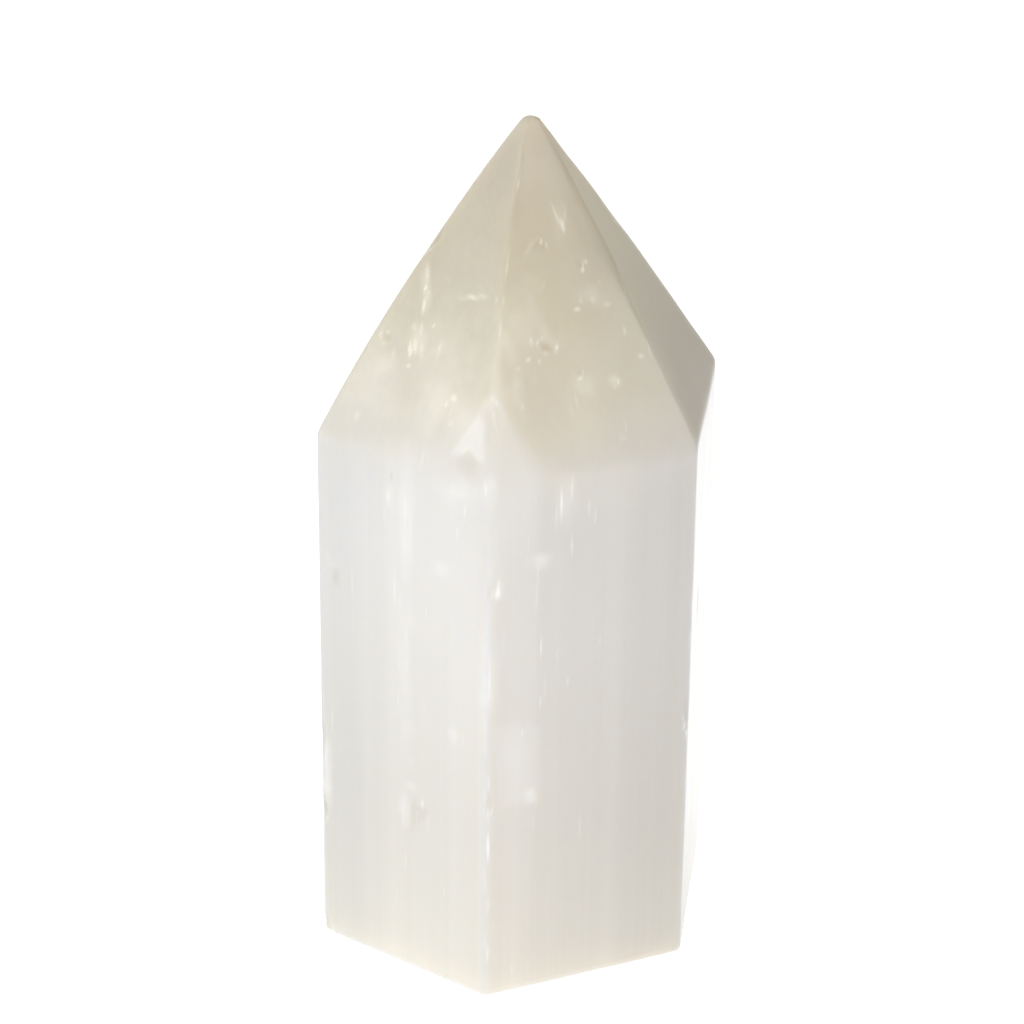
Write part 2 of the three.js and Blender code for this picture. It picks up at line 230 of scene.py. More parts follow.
# Bright splits: thin, mostly along the fibres.
SPLITS = {
    "left": [
        (-4.6, 92.8, 0.8, 3.8, 0.5, 22), (-4.1, 91.1, 0.6, 1.4, 0.9, 10),
        (-3.4, 90.6, 0.5, 1.8, 0.5, 28), (-3.5, 89.2, 0.7, 3.4, 1.0, 13),
        (-2.8, 86.9, 0.5, 2.8, 0.7, 18), (-3.9, 86.9, 1.2, 1.8, 0.5, 30),
        (-3.55, 84.6, 0.6, 3.6, 1.0, 21), (-2.9, 85.0, 0.6, 3.2, 0.9, 27),
        (-1.9, 84.9, 0.9, 2.4, 0.5, 20), (-3.0, 82.8, 0.9, 0.9, 0.8, 0),
        (-1.25, 87.6, 0.6, 0.7, 0.7, 0), (0.6, 85.5, 0.6, 1.8, 0.4, 20),
        (-5.6, 83.5, 0.6, 2.0, 0.5, 24), (-7.4, 85.5, 1.4, 0.6, 0.5, 20),
        (3.0, 91.6, 4.6, 0.8, 0.7, 15), (6.2, 92.0, 0.6, 1.4, 0.4, 15),
        (0.2, 66.0, 0.5, 14.0, 0.22, 0), (-0.5, 67.0, 0.4, 9.0, 0.25, 0),
        (1.0, 62.8, 0.4, 8.0, 0.3, 0), (-1.4, 54.8, 0.5, 7.0, 0.8, 0),
        (-0.6, 53.2, 0.4, 4.0, 0.5, 0), (3.5, 53.0, 0.4, 2.4, 0.6, 0),
        (0.4, 48.5, 0.4, 2.8, 0.6, 0), (-0.7, 44.5, 0.4, 2.6, 0.6, 0),
        (0.5, 44.6, 0.4, 2.2, 0.4, 0), (-0.9, 39.5, 0.4, 2.2, 0.6, 0),
        (1.4, 35.9, 3.2, 0.5, 0.6, -8), (-2.4, 66.9, 0.7, 1.2, 0.6, 25),
        (-2.9, 64.6, 0.4, 2.4, 0.5, 0), (8.5, 68.0, 0.4, 2.6, 0.5, 0),
        (7.8, 65.1, 0.4, 2.2, 0.5, 0), (5.5, 68.6, 0.8, 1.0, 0.5, 0),
        (10.8, 71.0, 0.4, 3.0, 1.0, 17), (10.0, 72.2, 0.9, 0.7, 0.9, 30),
        (3.2, 25.1, 0.4, 3.0, 0.9, 62), (1.4, 20.9, 1.1, 0.7, 1.0, -35),
        (0.2, 15.7, 0.4, 4.4, 0.4, 0),
    ],
    ("left", "front"): [
        (0, 103.8, 0.5, 2.6, 0.4, 0), (0, 95.4, 0.5, 4.8, 0.45, 0),
        (0, 92.2, 0.4, 2.0, 0.35, 0), (0, 89.1, 0.5, 3.8, 0.5, 0),
        (0, 46.8, 0.35, 7.6, 0.7, 0), (0, 31.6, 0.4, 3.6, 0.6, 0),
        (0, 27.4, 0.4, 3.4, 0.6, 0), (0, 22.4, 0.5, 5.6, 0.9, 0),
        (0, 14.0, 0.4, 4.0, 0.5, 0), (0, 6.5, 0.4, 4.0, 0.5, 0),
    ],
    "front": [
        (-11.4, 81.7, 0.6, 2.8, 0.45, 26), (-4.8, 69.2, 0.5, 7.0, 0.9, 1),
        (-3.4, 70.8, 0.4, 4.6, 0.7, -5), (-5.4, 67.4, 0.4, 5.0, 0.5, 0),
        (-3.3, 62.9, 0.4, 4.4, 0.6, 5), (-7.4, 61.7, 4.6, 0.5, 0.6, 12),
        (-7.8, 60.2, 0.4, 3.8, 0.6, 0), (-12.2, 51.6, 0.4, 2.4, 0.5, 0),
        (-7.2, 49.9, 0.4, 4.4, 0.8, 0), (-5.0, 48.0, 0.4, 2.2, 0.6, 0),
        (-7.2, 42.0, 0.4, 3.0, 0.5, 0), (-3.7, 43.9, 0.5, 2.2, 0.6, -34),
        (-9.6, 38.0, 0.4, 2.2, 0.6, -10), (-7.9, 24.6, 0.4, 2.4, 0.5, 0),
        (-13.4, 10.8, 0.5, 1.2, 0.6, 30), (0.9, 100.1, 0.5, 4.4, 0.40, 11),
        (2.2, 100.1, 0.5, 4.2, 0.25, -20), (1.5, 98.8, 0.7, 2.4, 0.65, 5),
        (2.9, 94.0, 0.9, 0.8, 0.9, 30), (3.5, 94.7, 1.0, 0.6, 0.6, 20),
        (4.7, 92.5, 0.6, 0.6, 0.7, 0), (1.8, 90.9, 0.9, 0.7, 0.5, 20),
        (3.4, 90.6, 1.0, 0.9, 0.45, 0), (5.2, 89.9, 1.6, 0.9, 0.35, 0),
        (1.1, 90.0, 1.4, 0.7, 0.7, -5), (-2.5, 86.3, 0.7, 1.5, 1.0, -30),
        (-3.9, 85.8, 1.7, 0.6, 0.8, -6), (-4.8, 87.2, 0.5, 1.1, 0.7, -5),
        (-4.1, 87.4, 1.0, 0.5, 0.5, -30), (-5.6, 87.4, 0.7, 1.3, 0.6, 0),
        (-6.4, 85.5, 1.1, 0.7, 0.7, 0), (-5.05, 85.2, 0.6, 1.0, 0.6, 20),
        (-8.0, 84.9, 1.2, 0.7, 0.7, 0), (8.2, 83.9, 1.3, 0.6, 0.6, 0),
        (3.9, 75.8, 1.8, 0.7, 0.5, -4), (4.6, 76.8, 0.5, 2.2, 0.4, -12),
        (-8.3, 80.8, 0.7, 1.3, 0.5, 0),
    ],
}

# Dull brownish or clearer places.
DULL_SPOTS = {
    "left": [(-10.6, 53.6, 2.0, 1.8, 0.70, 0), (-1.9, 70.2, 0.6, 1.0, 0.50, 0)],
    # The front spot paints the shade inside the scar at 86.5 mm.
    "front": [(-3.9, 86.6, 2.6, 1.6, 0.45, -40)],
    "back": [(-8.0, 44.0, 2.4, 1.8, 0.50, 0)],
    "back_right": [(9.0, 60.0, 1.8, 2.6, 0.50, 20)],
}

# Short splits that are strewn by chance: how many, the span of each value in the order that they are drawn,
# and a power that makes some of them long.
STRAY_SEED, STRAY_COUNT = 5, 150
STRAY_SPANS = {
    "across": (-12, 12),
    "height": (3, 100),
    "wide": (0.35, 0.6),
    "tall": (1, 5),
    "strength": (0.1, 0.55),
}
STRAY_TALL_POWER = 1.2
STRAY_ROLL = 3  # degrees, spread about upright

# ---------------- patterns and tints of the finish

# Noise that runs through the stone: features to the metre along each axis, then detail, roughness and, on
# one, distortion.
GRAINS = {
    "bands": ((330, 330, 5), 2.5, 0.55),
    "threads": ((1700, 1700, 22), 3.0, 0.6),
    "hairs": ((5000, 5000, 110), 2.0, 0.6),
    "drifts": ((95, 95, 60), 3.0, 0.55, 0.3),
    "breaks": ((300, 300, 220), 3.0, 0.6),
    "flecks": ((1100, 1100, 1100), 2.0, 0.6),
    "chips": ((2400, 2400, 500), 3.0, 0.6),
}

# Upright lines about which painted shade is laid on the stone: a place on the base, then in metres how near
# it the painted shade is full and how far from it the painted shade ends.
SHADE_LINES = {
    "right arris": ((0.024, -0.010, 0.0), 0.012, 0.036),
    "left arris": ((-0.027, -0.001, 0.0), 0.003, 0.011),
    "right of tip": ((0.024, -0.010, 0.0), 0.010, 0.026),
}

# Tints that multiply the stone's colour: the fields and shade lines that each keeps to, pairs of heights in
# metres between which it grows from nothing to full, and the tint. The notes beside them say which are
# painted shade and which painted light; the rest change the tone with height.
SILK_TINTS = [
    # Painted shade towards the right arris, and painted shade along the left arris.
    (["right arris"], [], (0.82, 0.82, 0.82)),
    (["left arris"], [], (0.91, 0.92, 0.93)),
    ([], [(0.050, 0.070)], (0.97, 0.975, 0.985)),
    # Painted shade low down towards the right arris.
    (["right arris"], [(0.050, 0.015)], (0.94, 0.94, 0.94)),
    (["off left"], [(0.050, 0.020)], (1.0, 0.988, 0.965)),
]
TIP_TINTS = [
    # Painted shade on the right of the tip.
    (["right of tip"], [], (0.85, 0.87, 0.93)),
    ([], [(0.080, 0.088), (0.106, 0.100)], (1.0, 1.0, 0.965)),
    (["mostly off left"], [(0.080, 0.073)], (1.02, 1.03, 1.09)),
]
STONE_TINTS = [
    ([], [(0.022, 0.0)], (1.035, 1.03, 1.0)),
    ([], [(0.0016, 0.0)], (0.90, 0.905, 0.95)),
    # Painted shade in the hollows of the scars, the cool colour of the highlight painted on the upright
    # arrises, and painted shade on the front ridges of the tip.
    (["scar"], [], (0.97, 0.96, 0.94)),
    (["side arris"], [], (0.93, 0.955, 1.02)),
    (["front ridge"], [], (0.95, 0.95, 0.95)),
]

# Tints that change with height: the two heights in metres, and the tint at each. The first paints light on
# the left side, more of it higher up.
LEFT_SILK_PAINTED_LIGHT = ((0.025, 0.060), (1.03, 1.035, 1.02), (1.10, 1.115, 1.14))
# Painted shade on the right flat of the tip, deepest low down.
RIGHT_TIP_PAINTED_SHADE = ((0.078, 0.102), (0.614, 0.548, 0.435), (0.925, 0.895, 0.75))
# What the deep and the light colour of the tip are multiplied by on its left: painted shade on the deep
# colour, which is high up, and painted light on the light colour, which is low down.
LEFT_TIP_PAINTED_SHADE, LEFT_TIP_PAINTED_LIGHT = (0.915, 0.935, 0.955), (1.085, 1.12, 1.20)

# The stage, in metres: where the table top glows most and how far from there the glow fades, the way to the
# bright side of the room, the lamp's place and size, and how far above the base it is aimed.
GLOW_MIDDLE, GLOW_FADE = (0.08, 0.065, 0.0), (0.06, 0.14)
BRIGHT_WAY = (-0.80, 0.50, -0.33)
LAMP_PLACE, LAMP_SIZE, LAMP_AIM = (-0.14, -0.70, 0.62), 0.5, 0.06
SENSOR_WIDTH = 36.0  # millimetres


# ---------------- sizes, colours and stage, as properties


class StoneShape(bpy.types.PropertyGroup):
    """Sizes of the stone."""

    height: FloatProperty(
        name="Height", description="From the base to the blunted tip", default=STONE_HIGH.z, unit="LENGTH"
    )
    apex_rise: FloatProperty(
        name="Apex rise", description="How far above the blunted tip its flats would meet",
        default=0.0014, unit="LENGTH",
    )
    shoulder: FloatProperty(
        name="Shoulder height", description="Where the upright sides end and the tip begins",
        default=0.0726, unit="LENGTH",
    )
    drift_x: FloatProperty(
        name="Tip drift X", description="How far the tip stands off the axis along X",
        default=0.0009, unit="LENGTH",
    )
    drift_y: FloatProperty(
        name="Tip drift Y", description="How far the tip stands off the axis along Y",
        default=-0.0004, unit="LENGTH",
    )
    corner_foot: FloatProperty(
        name="Corner foot", description="Where the flats that cut the front shoulder leave the front arris",
        default=0.060, unit="LENGTH",
    )
    corner_peak: FloatProperty(
        name="Corner peak", description="Where those flats reach the front ridge of the tip",
        default=0.0822, unit="LENGTH",
    )
    arris_wear: FloatProperty(
        name="Arris wear", description="Softness of the worn arrises", default=0.00026, unit="LENGTH"
    )
    corner_wear: FloatProperty(
        name="Corner wear", description="Softness with which the corner flats run out into the sides",
        default=0.0006, unit="LENGTH",
    )
    base_wear: FloatProperty(
        name="Base wear", description="Radius worn round the edge of the base",
        default=0.0005, unit="LENGTH",
    )
    tip_round: FloatProperty(
        name="Tip rounding", description="Height over which the tip is rounded off",
        default=0.0006, unit="LENGTH",
    )
    waviness: FloatProperty(
        name="Waviness", description="How far the hand-ground flats wander from true",
        default=0.00007, unit="LENGTH",
    )
    columns: IntProperty(name="Columns", description="Points round the stone", default=516)
    rows: IntProperty(name="Rows", description="Points from the base edge to the tip", default=178)


class StoneFinish(bpy.types.PropertyGroup):
    """Colours and gloss of the stone."""

    silk_light: FloatVectorProperty(
        name="Light silk", description="Bright fibres of the sides",
        subtype="COLOR", default=(0.76, 0.74, 0.705),
    )
    silk_deep: FloatVectorProperty(
        name="Deep silk", description="Duller fibres of the sides",
        subtype="COLOR", default=(0.70, 0.675, 0.635),
    )
    cut_light: FloatVectorProperty(
        name="Light cut", description="Pale areas of the cut flats of the tip",
        subtype="COLOR", default=(0.735, 0.69, 0.575),
    )
    cut_deep: FloatVectorProperty(
        name="Deep cut", description="Warm areas of the cut flats of the tip",
        subtype="COLOR", default=(0.65, 0.585, 0.47),
    )
    milk: FloatVectorProperty(
        name="Milk", description="Clouds and splits", subtype="COLOR", default=(0.93, 0.925, 0.91)
    )
    warm_milk: FloatVectorProperty(
        name="Warm milk", description="The same on the cut flats of the tip",
        subtype="COLOR", default=(0.90, 0.87, 0.77),
    )
    # Pale bruised arrises, a colour that also paints the bright highlight along them.
    bruise_and_highlight: FloatVectorProperty(
        name="Bruise", description="Bruised upright arrises", subtype="COLOR", default=(0.90, 0.93, 0.96)
    )
    dull: FloatVectorProperty(
        name="Dull spots", description="Small brownish spots", subtype="COLOR", default=(0.50, 0.44, 0.33)
    )
    roughness: FloatProperty(
        name="Roughness", description="Dullness of the polish",
        default=0.28, min=0.0, max=1.0, subtype="FACTOR",
    )
    scatter_depth: FloatProperty(
        name="Scatter depth", description="How far light travels under the surface",
        default=0.004, unit="LENGTH",
    )


class Stage(bpy.types.PropertyGroup):
    """Floor, light and camera."""

    floor_colour: FloatVectorProperty(
        name="Floor colour", description="Colour of the plain pale floor",
        subtype="COLOR", default=(0.3, 0.3, 0.3),
    )
    floor_glow: FloatProperty(
        name="Floor glow", description="Light given off by the lit table top", default=0.86, min=0.0
    )
    back_glow: FloatProperty(
        name="Back glow", description="Light given off by the table top behind the stone", default=1.6
    )
    floor_size: FloatProperty(
        name="Floor size", description="Side of the square floor", default=8.0, unit="LENGTH"
    )
    room_bright: FloatProperty(
        name="Bright side", description="Brightness of the room behind and to the left", default=1.08
    )
    room_dim: FloatProperty(
        name="Dim side", description="Brightness of the room in front and to the right", default=0.16
    )
    lamp_power: FloatProperty(name="Lamp power", description="Watts of the soft lamp", default=3.4)
    camera_turn: FloatProperty(
        name="Camera turn", description="Heading of the camera, turned from +Y towards +X",
        default=math.radians(24.1), subtype="ANGLE",
    )
    camera_dip: FloatProperty(
        name="Camera dip", description="How far the camera looks down",
        default=math.radians(26.17), subtype="ANGLE",
    )
    camera_roll: FloatProperty(
        name="Camera roll", description="Lean of the camera", default=math.radians(0.62), subtype="ANGLE"
    )
    camera_place: FloatVectorProperty(
        name="Camera place", description="Where the camera stands",
        default=(-0.16595, -0.36901, 0.25516), unit="LENGTH",
    )
    lens: FloatProperty(name="Lens", description="Focal length in mm on a 36 mm sensor", default=123.3)


# ---------------- numbers over the surface


def facing(turn):
    """The level unit vector that faces turn degrees from +X: (cos turn, sin turn)."""
    angle = np.radians(turn)
    return np.array([np.cos(angle), np.sin(angle)])


def smooth_step(value):
    """The curve 3t^2 - 2t^3 of a value clipped to 0 to 1."""
    t = np.clip(value, 0, 1)
    return t * t * (3 - 2 * t)


def smooth_noise(points, spacing, seed):
    """Smooth noise from 0 to 1: random values on a lattice of the given spacing, one step for each axis,
    joined between lattice points by the smooth step along each axis in turn."""
    cells = points / np.asarray(spacing)
    low = np.floor(cells).astype(int)
    part = smooth_step(cells - low)
    low -= low.min(axis=0)
    values = np.random.default_rng(seed).random(tuple(low.max(axis=0) + 2))
    total = np.zeros(len(points))
    for corner in np.ndindex(2, 2, 2):
        step = np.array(corner)
        weight = np.where(step == 1, part, 1 - part).prod(axis=1)
        total += weight * values[tuple((low + step).T)]
    return total


def sector(angle, middle, reach, fade):
    """How far each angle lies in a sector: 1 inside, falling by the smooth step over fade degrees to 0 at
    reach degrees from its middle."""
    return smooth_step((reach - np.abs(np.degrees(angle) - middle)) / fade)


def crowd(density, count):
    """Places count numbers from 0 to 1 so that they crowd where density, sampled evenly, is high: equal
    steps of the running sum of density, read back through its inverse."""
    running = np.concatenate([[0], np.cumsum(density)])
    running /= running[-1]
    return np.interp(np.linspace(0, 1, count), running, np.linspace(0, 1, len(running)))


def each_mark(table):
    """The marks of a table in one list, each with its side before its numbers."""
    return [(side, *mark) for side, marks in table.items() for mark in marks]


def turn_at(shape, side, height):
    """The way that a side, or from the shoulder up the flat above it, faces at a height."""
    return SIDES[side][0] if height < shape.shoulder else TIP_FLATS[side][0]


def side_reach(side, height):
    """Distance of a side's upright plane from the axis: the same at every height."""
    return np.full_like(height, SIDES[side][1] * MM)


def tip_reach(shape, side, height):
    """Distance of a tip flat from the axis. With left from 1 at the shoulder to 0 at the apex, it is
    reach * left + 4 * bulge * left * (1 - left) + drift * (1 - left), and lower down its tangent there."""
    turn, reach, bulge = TIP_FLATS[side]
    apex = shape.height + shape.apex_rise
    drift = facing(turn) @ (shape.drift_x, shape.drift_y)
    left = (apex - height) / (apex - shape.shoulder)
    swell = 4 * bulge * MM * np.where(left < 1, left * (1 - left), 1 - left)
    return reach * MM * left + swell + drift * (1 - left)


def true_reach(shape, side, height):
    """Distance of a side from the axis: its upright plane below the shoulder, its tip flat above."""
    return float(side_reach(side, height) if height < shape.shoulder else tip_reach(shape, side, height))


def arris_point(shape, a, b, height):
    """Level point where the surfaces of two sides meet: the solution of normal . point = reach for both."""
    normals = np.array([facing(turn_at(shape, a, height)), facing(turn_at(shape, b, height))])
    return np.linalg.solve(normals, [true_reach(shape, a, height), true_reach(shape, b, height)])


def corner_reach(shape, turn, height):
    """Distance of a corner flat from the axis: a straight line in height through its foot and its peak."""
    foot = arris_point(shape, "left", "front", shape.corner_foot) @ facing(turn)
    peak = arris_point(shape, "left", "front", shape.corner_peak) @ facing(turn)
    rise = (height - shape.corner_foot) / (shape.corner_peak - shape.corner_foot)
    return foot + (peak - foot) * rise


def all_flats(shape, height):
    """The turn of every flat, its distance from the axis at each height, its kind and the side it belongs
    to: six upright sides and the narrow strip, two flats that cut the front shoulder, and six of the tip."""
    strip_start = arris_point(shape, "left", "front", 0.0) + (FRONT_STRIP_WIDTH * MM, 0)
    strip_reach = strip_start @ facing(FRONT_STRIP_TURN)
    flats = [(SIDES[side][0], side_reach(side, height), "side", side) for side in SIDES]
    flats.append((FRONT_STRIP_TURN, np.full_like(height, strip_reach), "side", "front"))
    for turn, side in zip(CORNER_TURNS, ("corner_left", "corner_right")):
        flats.append((turn, corner_reach(shape, turn, height), "corner", side))
    flats += [(TIP_FLATS[side][0], tip_reach(shape, side, height), "tip", side) for side in TIP_FLATS]
    turns, reaches, kinds, owners = zip(*flats)
    return np.array(turns), np.array(reaches), np.array(kinds), np.array(owners)


# ---------------- the stone's surface


def stone_rows(shape):
    """The rows of the surface, from the middle of the base to just under the tip: each has a height, a share
    that the reach is multiplied by and an inset that is taken off it. The base is a fan of shares, its edge
    a quarter circle, and the tip is closed by the share sqrt(1 - (1 - w)^2), where w runs from 0 at the tip
    to 1. Rows crowd on the marked shoulder and tip, and near both ends."""
    disc = np.array(BASE_RINGS)
    bend = np.radians(np.linspace(0, 90, EDGE_STEPS))
    edge_height = shape.base_wear * (1 - np.cos(bend))
    edge_inset = shape.base_wear * (1 - np.sin(bend))
    span = np.linspace(shape.base_wear, shape.height, 2000)
    marked_from, marked_rise, marked_crowd = MARKED_ROWS
    base_fall, base_crowd = BASE_ROWS
    tip_fall, tip_crowd = TIP_ROWS
    density = 1 + marked_crowd * smooth_step((span - marked_from) / marked_rise)
    density += base_crowd * np.exp(-span / base_fall)
    density += tip_crowd * np.exp((span - shape.height) / tip_fall)
    tall = crowd(density, shape.rows + 2)[1:-1]
    rise = shape.base_wear + tall * (shape.height - shape.base_wear)
    to_tip = np.clip((shape.height - rise) / shape.tip_round, 0, 1)
    height = np.concatenate([0 * disc, edge_height, rise])
    share = np.concatenate([disc, np.ones(len(bend)), np.sqrt(1 - (1 - to_tip) ** 2)])
    inset = np.concatenate([0 * disc + shape.base_wear, edge_inset, 0 * rise])
    return height, share, inset


def stone_columns(shape):
    """Angles round the stone, crowded on the sides that show most and at the arrises of the others."""
    angle = np.linspace(-180, 180, 3600, endpoint=False)
    density = np.ones_like(angle)
    fade, shown_crowd = SHOWN_COLUMNS
    arris_fall, arris_crowd = ARRIS_COLUMNS
    names = list(SIDES)
    for a, b in zip(names, names[1:] + names[:1]):
        arris = arris_point(shape, a, b, 0.0)
        away = (angle - np.degrees(np.arctan2(arris[1], arris[0])) + 180) % 360 - 180
        density += arris_crowd * np.exp(-((away / arris_fall) ** 2))
    middle, half = np.mean(SHOWN_SIDES), np.ptp(SHOWN_SIDES) / 2
    away = np.abs((angle - middle + 180) % 360 - 180)
    density += shown_crowd * smooth_step((half + fade / 2 - away) / fade)
    return np.radians(-180 + 360 * crowd(density, shape.columns + 1)[:-1])


def soft_least(first, second, softness):
    """The soft minimum -s * log(exp(-a / s) + exp(-b / s)) of two distances, and the share of the second."""
    least = np.minimum(first, second)
    pull_first = np.exp((least - first) / softness)
    pull_second = np.exp((least - second) / softness)
    total = pull_first + pull_second
    return least - softness * np.log(total), pull_second / total


def soft_nearest(reaches, softness, same_side=None):
    """The nearest of several flats with their arrises rounded: the soft minimum -s * log(sum(exp(-r / s))),
    and how much of an arris is at each point, from 0 to 1. Two flats of the same side have none."""
    nearest = reaches.min(axis=0)
    pull = np.exp((nearest - reaches) / softness)
    total = pull.sum(axis=0)
    if same_side:
        kept, joined = same_side
        pull[kept] += pull[joined]
    return nearest - softness * np.log(total), 2 * (1 - pull.max(axis=0) / total)


def share_of(reaches, weights, softness):
    """How much each point takes after the weighted flats: their part of the sum of exp(-r / s)."""
    pull = np.exp((reaches.min(axis=0) - reaches) / softness)
    return np.tensordot(weights, pull, 1) / pull.sum(axis=0)


def grid_points(height, angle, middle, lengths):
    """The points that lie at their lengths along the level rays from the middle of each row."""
    level = np.stack([np.cos(angle), np.sin(angle)], axis=1)
    grid = np.empty(lengths.shape + (3,))
    grid[..., :2] = middle[:, None, :] + lengths[..., None] * level
    grid[..., 2] = height[:, None]
    return grid


def ray_lengths(shape, height, angle, middle):
    """How far from the middle each ray meets each flat, at each height: along the ray at angle a, a flat
    that faces turn lies at reach / cos(a - turn). The flats wander by noise, as hand-ground ones do. Gives
    the points of the nearest true flat too, and the kind and the side of each flat."""
    turns, reaches, kinds, owners = all_flats(shape, height)
    own = reaches - np.array([facing(t) for t in turns]) @ middle.T
    slant = np.cos(angle[None, :] - np.radians(turns)[:, None])
    lengths = own[:, :, None] / np.maximum(slant, LEAST_SLANT)[:, None, :]
    points = grid_points(height, angle, middle, lengths.min(axis=0)).reshape(-1, 3)
    spacing, seed = NOISES["wander"]
    for i in range(len(turns)):
        wander = smooth_noise(points, spacing, seed + i) - 0.5
        lengths[i] -= (shape.waviness * (1 + 2 * wander)).reshape(lengths[i].shape)
    return lengths, points, kinds, owners


def patchy(points, size, noise, least, more):
    """A value that varies over the grid by noise, from least to least + more."""
    return least + more * smooth_noise(points, *NOISES[noise]).reshape(size)


def tip_softness(shape, height, angle, wear):
    """Wear of the ridges of the tip: more high up on the front and right ones, and less near the apex."""
    high_from, high_rise = HIGH_RIDGES
    high = smooth_step((height - high_from) / high_rise)[:, None]
    more = FRONT_RIDGE_WEAR * sector(angle, *FRONT_RIDGES) + RIGHT_RIDGE_WEAR * sector(angle, *RIGHT_RIDGE)
    to_apex = shape.height + shape.apex_rise - height
    return np.minimum(wear * (1 + high * more), TIP_WEAR_CAP * to_apex[:, None])


def stone_surface(shape):
    """The whole surface as points on a grid of rows and columns, and fields on it. The middle of a row
    drifts to the tip above the shoulder. The soft minimum joins the sides, then the corner flats and then
    the flats of the tip to them. The field cut goes from 0 to 1 where the tip comes nearer than the body."""
    height, share, inset = stone_rows(shape)
    angle = stone_columns(shape)
    apex = shape.height + shape.apex_rise
    done = np.clip((height - shape.shoulder) / (apex - shape.shoulder), 0, 1)
    middle = done[:, None] * np.array([shape.drift_x, shape.drift_y])
    lengths, points, kinds, owners = ray_lengths(shape, height, angle, middle)
    size = lengths[0].shape

    wear = shape.arris_wear * patchy(points, size, "wear", *WEAR_VARIES)
    front_and_strip = (list(SIDES).index("front"), len(SIDES))
    sides, side_arris = soft_nearest(lengths[kinds == "side"], wear, front_and_strip)
    corner, _ = soft_nearest(lengths[kinds == "corner"], CORNER_RIDGE_WEAR * wear)
    split_turn, split_width = CORNER_SPLIT
    corner_left = smooth_step((split_turn - np.degrees(angle)) / split_width)
    body, corner_part = soft_least(sides, corner, shape.corner_wear * (1 + CORNER_LEFT_WEAR * corner_left))
    tip_wear = tip_softness(shape, height, angle, wear)
    tip, tip_arris = soft_nearest(lengths[kinds == "tip"], tip_wear)
    soft = sector(angle, *SOFT_SHOULDER)
    crisp_wear, soft_wear = SHOULDER_WEAR
    outline, tip_part = soft_least(body, tip, wear * (crisp_wear + soft_wear * soft))
    grid = grid_points(height, angle, middle, outline * share[:, None] - inset[:, None])

    crisp = (1 - soft) * (np.degrees(angle) > CRISP_FROM)
    blur = patchy(points, size, "blur", *BORDER_BLUR)
    blur *= (1 - BORDER_CRISP * corner_part) * (1 - BORDER_CRISP * crisp)
    cut = 1 / (1 + np.exp(np.clip((tip - body) / blur, -30, 30)))
    side_part = (1 - corner_part) * (1 - tip_part)
    fields = {"cut": cut, "side_arris": side_arris * side_part, "tip_arris": tip_arris * tip_part}
    for field, weights in COLOUR_SHARES.items():
        fields[field] = share_of(lengths, [weights.get(owner, 0.0) for owner in owners], 2 * tip_wear)
    return grid, fields


def spot_frame(spot_at, height):
    """Middle, sideways, upward and outward directions of a place on the surface: upward runs along the
    surface to the place 1 mm higher, sideways is level, and outward is square to both."""
    low, high = spot_at(height * MM), spot_at((height + 1) * MM)
    middle = np.array([*low, height * MM])
    upward = np.array([*high, (height + 1) * MM]) - middle
    upward /= np.linalg.norm(upward)
    outward = np.cross([-low[1], low[0], 0.0], upward)
    outward /= np.linalg.norm(outward)
    return middle, np.cross(upward, outward), upward, outward


def side_spot(shape, side, across, height):
    """The frame of a place on a side, across millimetres from its middle, or on the arris of two."""
    if isinstance(side, tuple):
        return arris_spot(shape, *side, height)
    out = facing(turn_at(shape, side, height * MM))
    along = np.array([-out[1], out[0]]) * across * MM
    middle, sideways, upward, outward = spot_frame(lambda rise: out * true_reach(shape, side, rise), height)
    return middle + (*along, 0), sideways, upward, outward


def arris_spot(shape, a, b, height):
    """The frame of a place on the arris between two sides."""
    return spot_frame(lambda rise: arris_point(shape, a, b, rise), height)


def mark_shape(points, place, wide, tall, roll, power=2.0, reach=1.5):
    """Indices of the points near a mark, and q for each, which is 0 at its middle and 1 on its outline: with
    a and b across and along the rolled mark, in halves of its width and height,
    q = (|a|^p + |b|^p)^(1 / p). Gives b too, which runs from -1 at the foot of the mark to 1 at its head."""
    middle, sideways, upward, outward = place
    away = points - middle
    half = max(wide, tall) * MM / 2
    near = np.flatnonzero((np.abs(away) < reach * half + 0.0005).all(axis=1))
    away = away[near]
    turn = np.radians(roll)
    across, along = away @ sideways, away @ upward
    a = (across * np.cos(turn) + along * np.sin(turn)) / (wide * MM / 2)
    b = (along * np.cos(turn) - across * np.sin(turn)) / (tall * MM / 2)
    q = (np.abs(a) ** power + np.abs(b) ** power) ** (1 / power)
    inside = (q < reach) & (np.abs(away @ outward) < MARK_THICKNESS)
    return near[inside], q[inside], b[inside]


